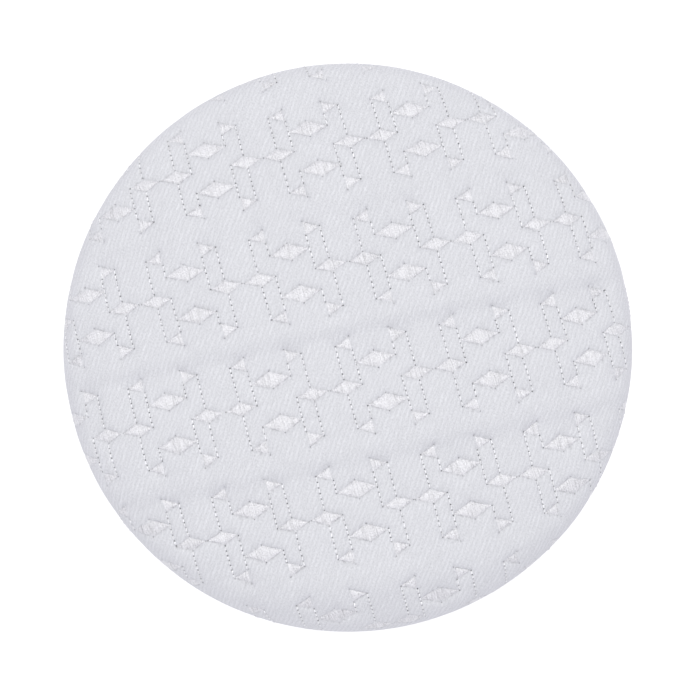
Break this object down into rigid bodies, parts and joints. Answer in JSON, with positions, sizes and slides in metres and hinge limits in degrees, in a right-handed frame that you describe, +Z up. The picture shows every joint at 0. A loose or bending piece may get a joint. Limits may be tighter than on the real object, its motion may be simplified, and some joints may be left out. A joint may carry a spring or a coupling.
{
  "type": "embroidered kufi cap",
  "caption": "Round brimless cap of white quilted twill with a softly domed top, its crown and side band covered in rows of small geometric embroidery, with a plain turned hem.",
  "frame": {"origin": "on the floor, at the middle of the head opening, straight under the middle of the crown", "axes": "+Z up from the rim to the crown; the front is -Y and the back seam is at +Y; +X is across the cap"},
  "size_m": [0.1862, 0.1862, 0.1],
  "materials": {
    "quilted_twill": "matt white cotton twill, quilted, with satin-stitched motifs",
    "plain_twill": "matt white cotton twill",
    "raw_edge": "overlocked white cotton edge"
  },
  "bodies": {
    "root": {"crown_panel": "quilted_twill", "side_band": "quilted_twill", "turned_hem": "plain_twill", "crown_seam_allowance": "raw_edge", "back_seam_allowance": "raw_edge"}
  },
  "joints": []
}
